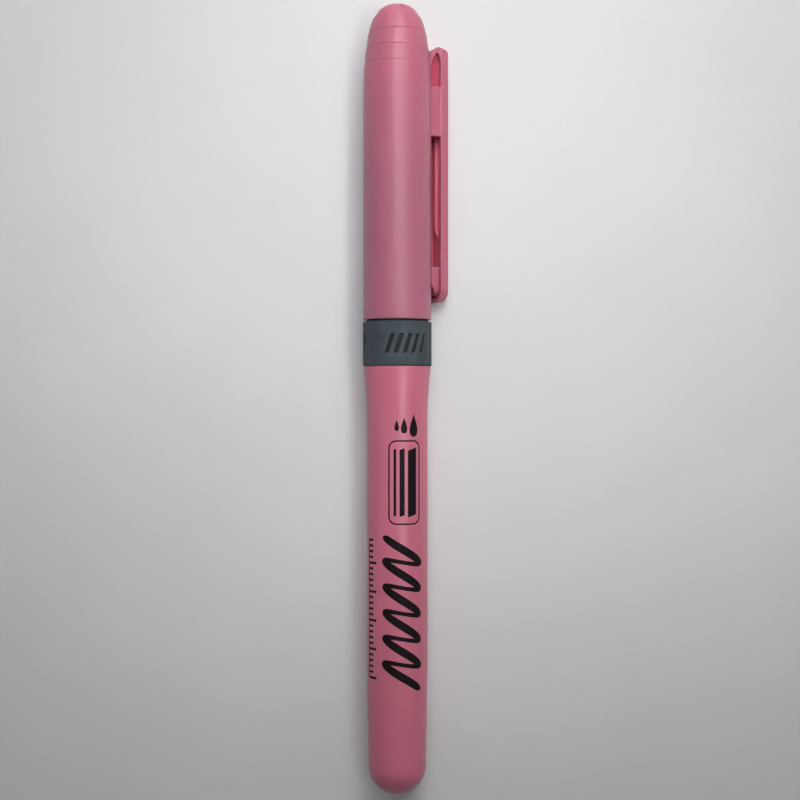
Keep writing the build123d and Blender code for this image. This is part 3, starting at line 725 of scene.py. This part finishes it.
class Maker:
    """One material and a few short ways to add nodes to it. Its textures are sized in millimetres.

    cad_node=True is for the frame's nodes and the floor, which carry no "pen" layer.
    """

    def __init__(self, name, cad_node=False, **settings):
        self.material = bpy.data.materials.new(name)
        self.material.use_nodes = True
        self.tree = self.material.node_tree
        self.shader = self.tree.nodes["Principled BSDF"]
        for key, value in settings.items():
            self.shader.inputs[key.replace("_", " ")].default_value = value
        if cad_node:
            source = self.add("ShaderNodeTexCoord").outputs["Object"]
            scaled = self.add("ShaderNodeVectorMath", operation="SCALE")
            scaled.inputs["Scale"].default_value = 1 / MM
            self.link(source, scaled.inputs[0])
            self.place = scaled.outputs[0]
        else:
            source = self.add("ShaderNodeAttribute")
            source.attribute_name = "pen"
            self.place = source.outputs["Vector"]

    def add(self, kind, **values):
        node = self.tree.nodes.new(kind)
        for key, value in values.items():
            setattr(node, key, value)
        return node

    def link(self, source, target):
        self.tree.links.new(source, target)
        return target.node

    def noise(self, scale, detail=2.0, stretch=(1, 1, 1), roughness=0.5):
        mapping = self.add("ShaderNodeMapping")
        mapping.inputs["Scale"].default_value = stretch
        self.link(self.place, mapping.inputs["Vector"])
        node = self.add("ShaderNodeTexNoise")
        node.inputs["Scale"].default_value = scale
        node.inputs["Detail"].default_value = detail
        node.inputs["Roughness"].default_value = roughness
        self.link(mapping.outputs[0], node.inputs["Vector"])
        return node.outputs["Fac"]

    def ramp(self, value, *stops):
        """Colours (or greys) at given values, with straight changes between them."""
        node = self.add("ShaderNodeValToRGB")
        elements = node.color_ramp.elements
        while len(elements) < len(stops):
            elements.new(0.5)
        for element, (position, colour) in zip(elements, stops):
            element.position = position
            grey = isinstance(colour, (int, float))
            element.color = (colour, colour, colour, 1) if grey else (*colour, 1)
        self.link(value, node.inputs["Fac"])
        return node.outputs["Color"]

    def maths(self, operation, a, b):
        node = self.add("ShaderNodeMath", operation=operation)
        for k, value in enumerate((a, b)):
            if isinstance(value, (int, float)):
                node.inputs[k].default_value = value
            else:
                self.link(value, node.inputs[k])
        return node.outputs[0]

    def mixed(self, factor, a, b):
        """Colour a changed toward colour b by a factor from 0 to 1."""
        node = self.add("ShaderNodeMix", data_type="RGBA", blend_type="MIX")
        for socket, value in ((node.inputs[0], factor), (node.inputs[6], a), (node.inputs[7], b)):
            if isinstance(value, bpy.types.NodeSocket):
                self.link(value, socket)
            elif isinstance(value, tuple):
                socket.default_value = (*value, 1)
            else:
                socket.default_value = value
        return node.outputs[2]

    def bump(self, height, millimetres, base=None):
        """Relief of a given height, on top of an earlier relief where there is one."""
        node = self.add("ShaderNodeBump")
        node.inputs["Strength"].default_value = 1.0
        node.inputs["Distance"].default_value = millimetres * MM
        self.link(height, node.inputs["Height"])
        if base is not None:
            self.link(base, node.inputs["Normal"])
        return node.outputs["Normal"]

    def finish(self, colour=None, roughness=None, normal=None):
        for name, value in (("Base Color", colour), ("Roughness", roughness), ("Normal", normal)):
            if value is not None:
                self.link(value, self.shader.inputs[name])
        return self.material


BARREL_PINK = (0.68, 0.182, 0.270)
CAP_PINK = (0.47, 0.150, 0.225)
# Painted light: the cap's pink turns lighter toward the dome.
DOME_PAINTED_LIGHT = (0.58, 0.160, 0.238)
CLIP_PINK = (0.53, 0.150, 0.220)
# Painted shade: a darker, redder pink in the clip's pockets.
POCKET_PAINTED_SHADE = (0.53, 0.055, 0.115)
# Painted light: a brighter pink in the shaded hollow along the clip's tongue, for light passing through the
# thin plastic.
GAP_PAINTED_LIGHT = (0.93, 0.19, 0.285)


def tinted(colour, factor):
    """A colour made lighter or darker."""
    return tuple(channel * factor for channel in colour)


def parting_line(m):
    """A faint ridge along the pen where the two halves of the mould met."""
    parts = m.add("ShaderNodeSeparateXYZ")
    m.link(m.place, parts.inputs[0])
    off = m.maths("ABSOLUTE", parts.outputs["Y"], 0.0)
    return m.maths("LESS_THAN", off, 0.035)


def pink_plastic(name, pink, rough_low, rough_high, grain):
    """Moulded polypropylene: a fine grain, faint flow marks, and scuffs that catch the light."""
    m = Maker(name, Subsurface_Weight=0.2, Subsurface_Scale=0.001)
    flow = m.noise(0.16, 3, (1, 1, 0.25))
    m.colour = m.ramp(flow, (0.3, tinted(pink, 0.93)), (0.5, pink), (0.72, tinted(pink, 1.06)))
    speckle = m.noise(5.5, 2, roughness=0.6)
    m.colour = m.mixed(m.ramp(speckle, (0.35, 0.0), (0.75, 0.10)), m.colour, tinted(pink, 1.35))
    scuffs = m.noise(3.2, 4, (1, 1, 0.12), 0.65)
    skin = m.ramp(speckle, (0.3, rough_low), (0.7, rough_high))
    rough = m.maths("ADD", skin, m.ramp(scuffs, (0.55, 0), (0.75, 0.10)))
    normal = m.bump(m.noise(4.2, 3, roughness=0.6), grain)
    normal = m.bump(m.noise(1.5, 3, roughness=0.65), grain * 3.5, base=normal)
    normal = m.bump(m.noise(0.5, 1, (1, 1, 0.4)), 0.02, base=normal)
    normal = m.bump(parting_line(m), 0.006, base=normal)
    m.finish(m.colour, rough, normal)
    return m


def cap_plastic():
    """The cap's pink, turned lighter toward the dome as painted light."""
    m = pink_plastic("cap_plastic", CAP_PINK, 0.30, 0.40, 0.018)
    parts = m.add("ShaderNodeSeparateXYZ")
    m.link(m.place, parts.inputs[0])
    height = m.maths("DIVIDE", parts.outputs["Z"], PEN_LENGTH)
    # Painted light: mixed toward a lighter pink as the dome nears its crown.
    dome = m.ramp(height, (0.77, 0.0), (0.92, 0.9))
    return m.finish(m.mixed(dome, m.colour, DOME_PAINTED_LIGHT))


def clip_plastic():
    """The clip's pink, with painted shade deep in its pockets and painted light, a brighter pink, in its
    shaded hollow, where light passes through its thin back.
    """
    m = pink_plastic("clip_plastic", CLIP_PINK, 0.30, 0.40, 0.010)
    # Painted shade mixed into the pockets and painted light into the tongue's hollow.
    for name, colour in (("pocket_shade", POCKET_PAINTED_SHADE), ("gap", GAP_PAINTED_LIGHT)):
        mask = m.add("ShaderNodeAttribute", attribute_name=name).outputs["Fac"]
        m.colour = m.mixed(m.ramp(mask, (0.1, 0.0), (0.9, 0.85)), m.colour, colour)
    return m.finish(m.colour)


def grip_rubber():
    """Grey rubber, with painted shade: darker where the bars are pressed in."""
    m = Maker("grip_rubber", Specular_IOR_Level=0.35)
    cloud = m.noise(0.45, 4)
    colour = m.ramp(cloud, (0.3, (0.045, 0.057, 0.068)), (0.7, (0.072, 0.089, 0.103)))
    dust = m.noise(7.0, 3, roughness=0.7)
    colour = m.mixed(m.ramp(dust, (0.62, 0.0), (0.82, 0.22)), colour, (0.20, 0.21, 0.21))
    pressed = m.add("ShaderNodeAttribute", attribute_name="pressed").outputs["Fac"]
    # Painted shade: the pressed bars are mixed toward near black.
    colour = m.mixed(m.ramp(pressed, (0.1, 0.0), (0.8, 0.92)), colour, (0.010, 0.012, 0.014))
    rough = m.ramp(cloud, (0.3, 0.62), (0.7, 0.74))
    normal = m.bump(m.noise(9.0, 4, roughness=0.65), 0.012)
    return m.finish(colour, rough, normal)


def dark_plastic():
    m = Maker("section_plastic")
    cloud = m.noise(0.5, 3)
    colour = m.ramp(cloud, (0.3, (0.028, 0.030, 0.033)), (0.7, (0.042, 0.044, 0.048)))
    rough = m.ramp(m.noise(4.0, 3, (1, 1, 0.2)), (0.3, 0.30), (0.7, 0.42))
    return m.finish(colour, rough, m.bump(m.noise(5.0, 2), 0.004))


def nib_fibre():
    m = Maker("nib_fibre", Subsurface_Weight=0.15, Subsurface_Scale=0.0006)
    fibres = m.noise(7.0, 4, (1, 1, 0.06), 0.6)
    colour = m.ramp(fibres, (0.3, (0.62, 0.02, 0.10)), (0.55, (0.86, 0.06, 0.20)), (0.75, (0.95, 0.22, 0.36)))
    rough = m.ramp(fibres, (0.3, 0.75), (0.7, 0.92))
    return m.finish(colour, rough, m.bump(fibres, 0.05))


def reservoir_fibre():
    m = Maker("reservoir_fibre", cad_node=True)
    fibres = m.noise(5.0, 4, (1, 0.05, 1), 0.6)
    colour = m.ramp(fibres, (0.3, (0.60, 0.03, 0.12)), (0.7, (0.92, 0.22, 0.38)))
    return m.finish(colour, m.ramp(fibres, (0.3, 0.8), (0.7, 0.95)), m.bump(fibres, 0.06))


def clear_film():
    m = Maker("reservoir_film", cad_node=True, Transmission_Weight=0.6, IOR=1.5)
    crease = m.noise(0.8, 3, (1, 0.3, 1))
    colour = m.ramp(crease, (0.3, (0.82, 0.74, 0.75)), (0.7, (0.92, 0.88, 0.88)))
    return m.finish(colour, m.ramp(crease, (0.3, 0.08), (0.7, 0.2)), m.bump(crease, 0.02))


def milky_plastic():
    m = Maker("seal_plastic", cad_node=True, Subsurface_Weight=0.3, Subsurface_Scale=0.001)
    cloud = m.noise(0.4, 3)
    colour = m.ramp(cloud, (0.3, (0.60, 0.58, 0.54)), (0.7, (0.72, 0.71, 0.67)))
    return m.finish(colour, m.ramp(cloud, (0.3, 0.35), (0.7, 0.5)), m.bump(m.noise(4.0, 3), 0.005))


def black_ink():
    m = Maker("print_ink", Specular_IOR_Level=0.2)
    cover = m.noise(6.0, 3, roughness=0.7)
    colour = m.ramp(cover, (0.2, (0.022, 0.006, 0.009)), (0.5, (0.006, 0.003, 0.004)))
    return m.finish(colour, m.ramp(cover, (0.3, 0.5), (0.7, 0.65)), m.bump(cover, 0.003))


def table_top():
    m = Maker("table_top", cad_node=True)
    cloud = m.noise(0.02, 4)
    colour = m.ramp(cloud, (0.3, (0.75, 0.76, 0.77)), (0.7, (0.81, 0.81, 0.81)))
    return m.finish(colour, m.ramp(cloud, (0.3, 0.5), (0.7, 0.6)), m.bump(m.noise(1.2, 4), 0.02))


# ---------------------------------------------------------------- putting it together


def dress(piece, material, body, replaced=()):
    """Gives a piece its material and its body, and hides the CAD nodes that it stands for."""
    piece.data.materials.clear()
    piece.data.materials.append(material)
    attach(piece, body)
    if replaced:
        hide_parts(*replaced)


barrel_pink = pink_plastic("barrel_plastic", BARREL_PINK, 0.30, 0.40, 0.005).material
dress(barrel(), barrel_pink, "barrel", ["barrel"])
dress(grip_sleeve(), grip_rubber(), "barrel", ["grip_sleeve"])
dress(front_section(), dark_plastic(), "barrel", ["front_section"])
dress(nib(), nib_fibre(), "barrel", ["nib"])
dress(cap(), cap_plastic(), "cap", ["cap_shell"])
dress(barrel_print(), black_ink(), "barrel")

whole_clip = clip()
whole_clip.data.materials.append(clip_plastic())
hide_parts("clip_bridge", "clip_arm")
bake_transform(whole_clip)

for node, material in (
    ("reservoir_core", reservoir_fibre()),
    ("reservoir_film", clear_film()),
    ("cap_inner_seal", milky_plastic()),
):
    mesh = frame["nodes"][node].data
    mesh.materials.clear()
    mesh.materials.append(material)

# ---------------------------------------------------------------- floor, light and camera


def floor():
    bm = bmesh.new()
    bmesh.ops.create_grid(bm, x_segments=8, y_segments=8, size=2.5)
    mesh = bpy.data.meshes.new("floor")
    bm.to_mesh(mesh)
    bm.free()
    piece = bpy.data.objects.new("floor", mesh)
    piece.data.materials.append(table_top())
    bpy.context.scene.collection.objects.link(piece)


def softbox(name, place, target, size, watts, colour=(1, 1, 1), beam=180.0):
    """A soft rectangular lamp. A narrowed beam makes its light fall off sooner."""
    data = bpy.data.lights.new(name, "AREA")
    data.shape = "RECTANGLE"
    data.size, data.size_y = size
    data.energy = watts
    data.color = colour
    data.spread = math.radians(beam)
    light = bpy.data.objects.new(name, data)
    light.location = place
    light.rotation_mode = "QUATERNION"
    light.rotation_quaternion = (Vector(target) - Vector(place)).to_track_quat("-Z", "Y")
    light.visible_camera = False
    bpy.context.scene.collection.objects.link(light)


def world(strength, colour):
    scene_world = bpy.data.worlds.new("studio")
    scene_world.use_nodes = True
    background = scene_world.node_tree.nodes["Background"]
    background.inputs["Color"].default_value = (*colour, 1)
    background.inputs["Strength"].default_value = strength
    bpy.context.scene.world = scene_world


def camera():
    """Straight above the pen, so that the pen fills the frame from top to bottom."""
    distance, framed = 0.250, 0.14128
    aside, along = 0.00048, -0.00012  # small shifts from the pen's axis and from the origin
    data = bpy.data.cameras.new("camera")
    data.sensor_width = 36.0
    data.lens = data.sensor_width * distance / framed
    data.clip_start, data.clip_end = 0.01, 10.0
    eye = bpy.data.objects.new("camera", data)
    eye.location = (AXIS_X + aside, along, AXIS_Z + distance)
    bpy.context.scene.collection.objects.link(eye)
    bpy.context.scene.camera = eye


COOL = (0.96, 0.98, 1.0)
WARM = (1.0, 0.98, 0.96)
ON_CAP = (0, 0.05, 0)  # where most lamps point, beside the cap's skirt

floor()
softbox("over_cap", (-0.015, 0.19, 0.60), ON_CAP, (0.09, 0.12), watts=0.0178, colour=COOL, beam=28.0)
softbox(
    "over_barrel",
    (0.237, -0.04, 0.60),
    target=(0, 0.027, 0),
    size=(0.065, 0.08),
    watts=0.0118,
    colour=(1.0, 0.99, 0.96),
    beam=20.0,
)
softbox("near", (0.07, 0.19, 0.22), ON_CAP, (0.12, 0.12), watts=0.23, colour=WARM)
softbox("beyond", (0.0, 0.30, 0.35), ON_CAP, (0.20, 0.20), watts=0.46, colour=COOL)
softbox("low_beyond", (0.0, 0.50, 0.16), (0, 0.06, 0), (0.30, 0.12), watts=0.4)
world(0.135, (0.93, 0.96, 1.0))
bpy.context.scene.view_settings.view_transform = "Standard"
camera()
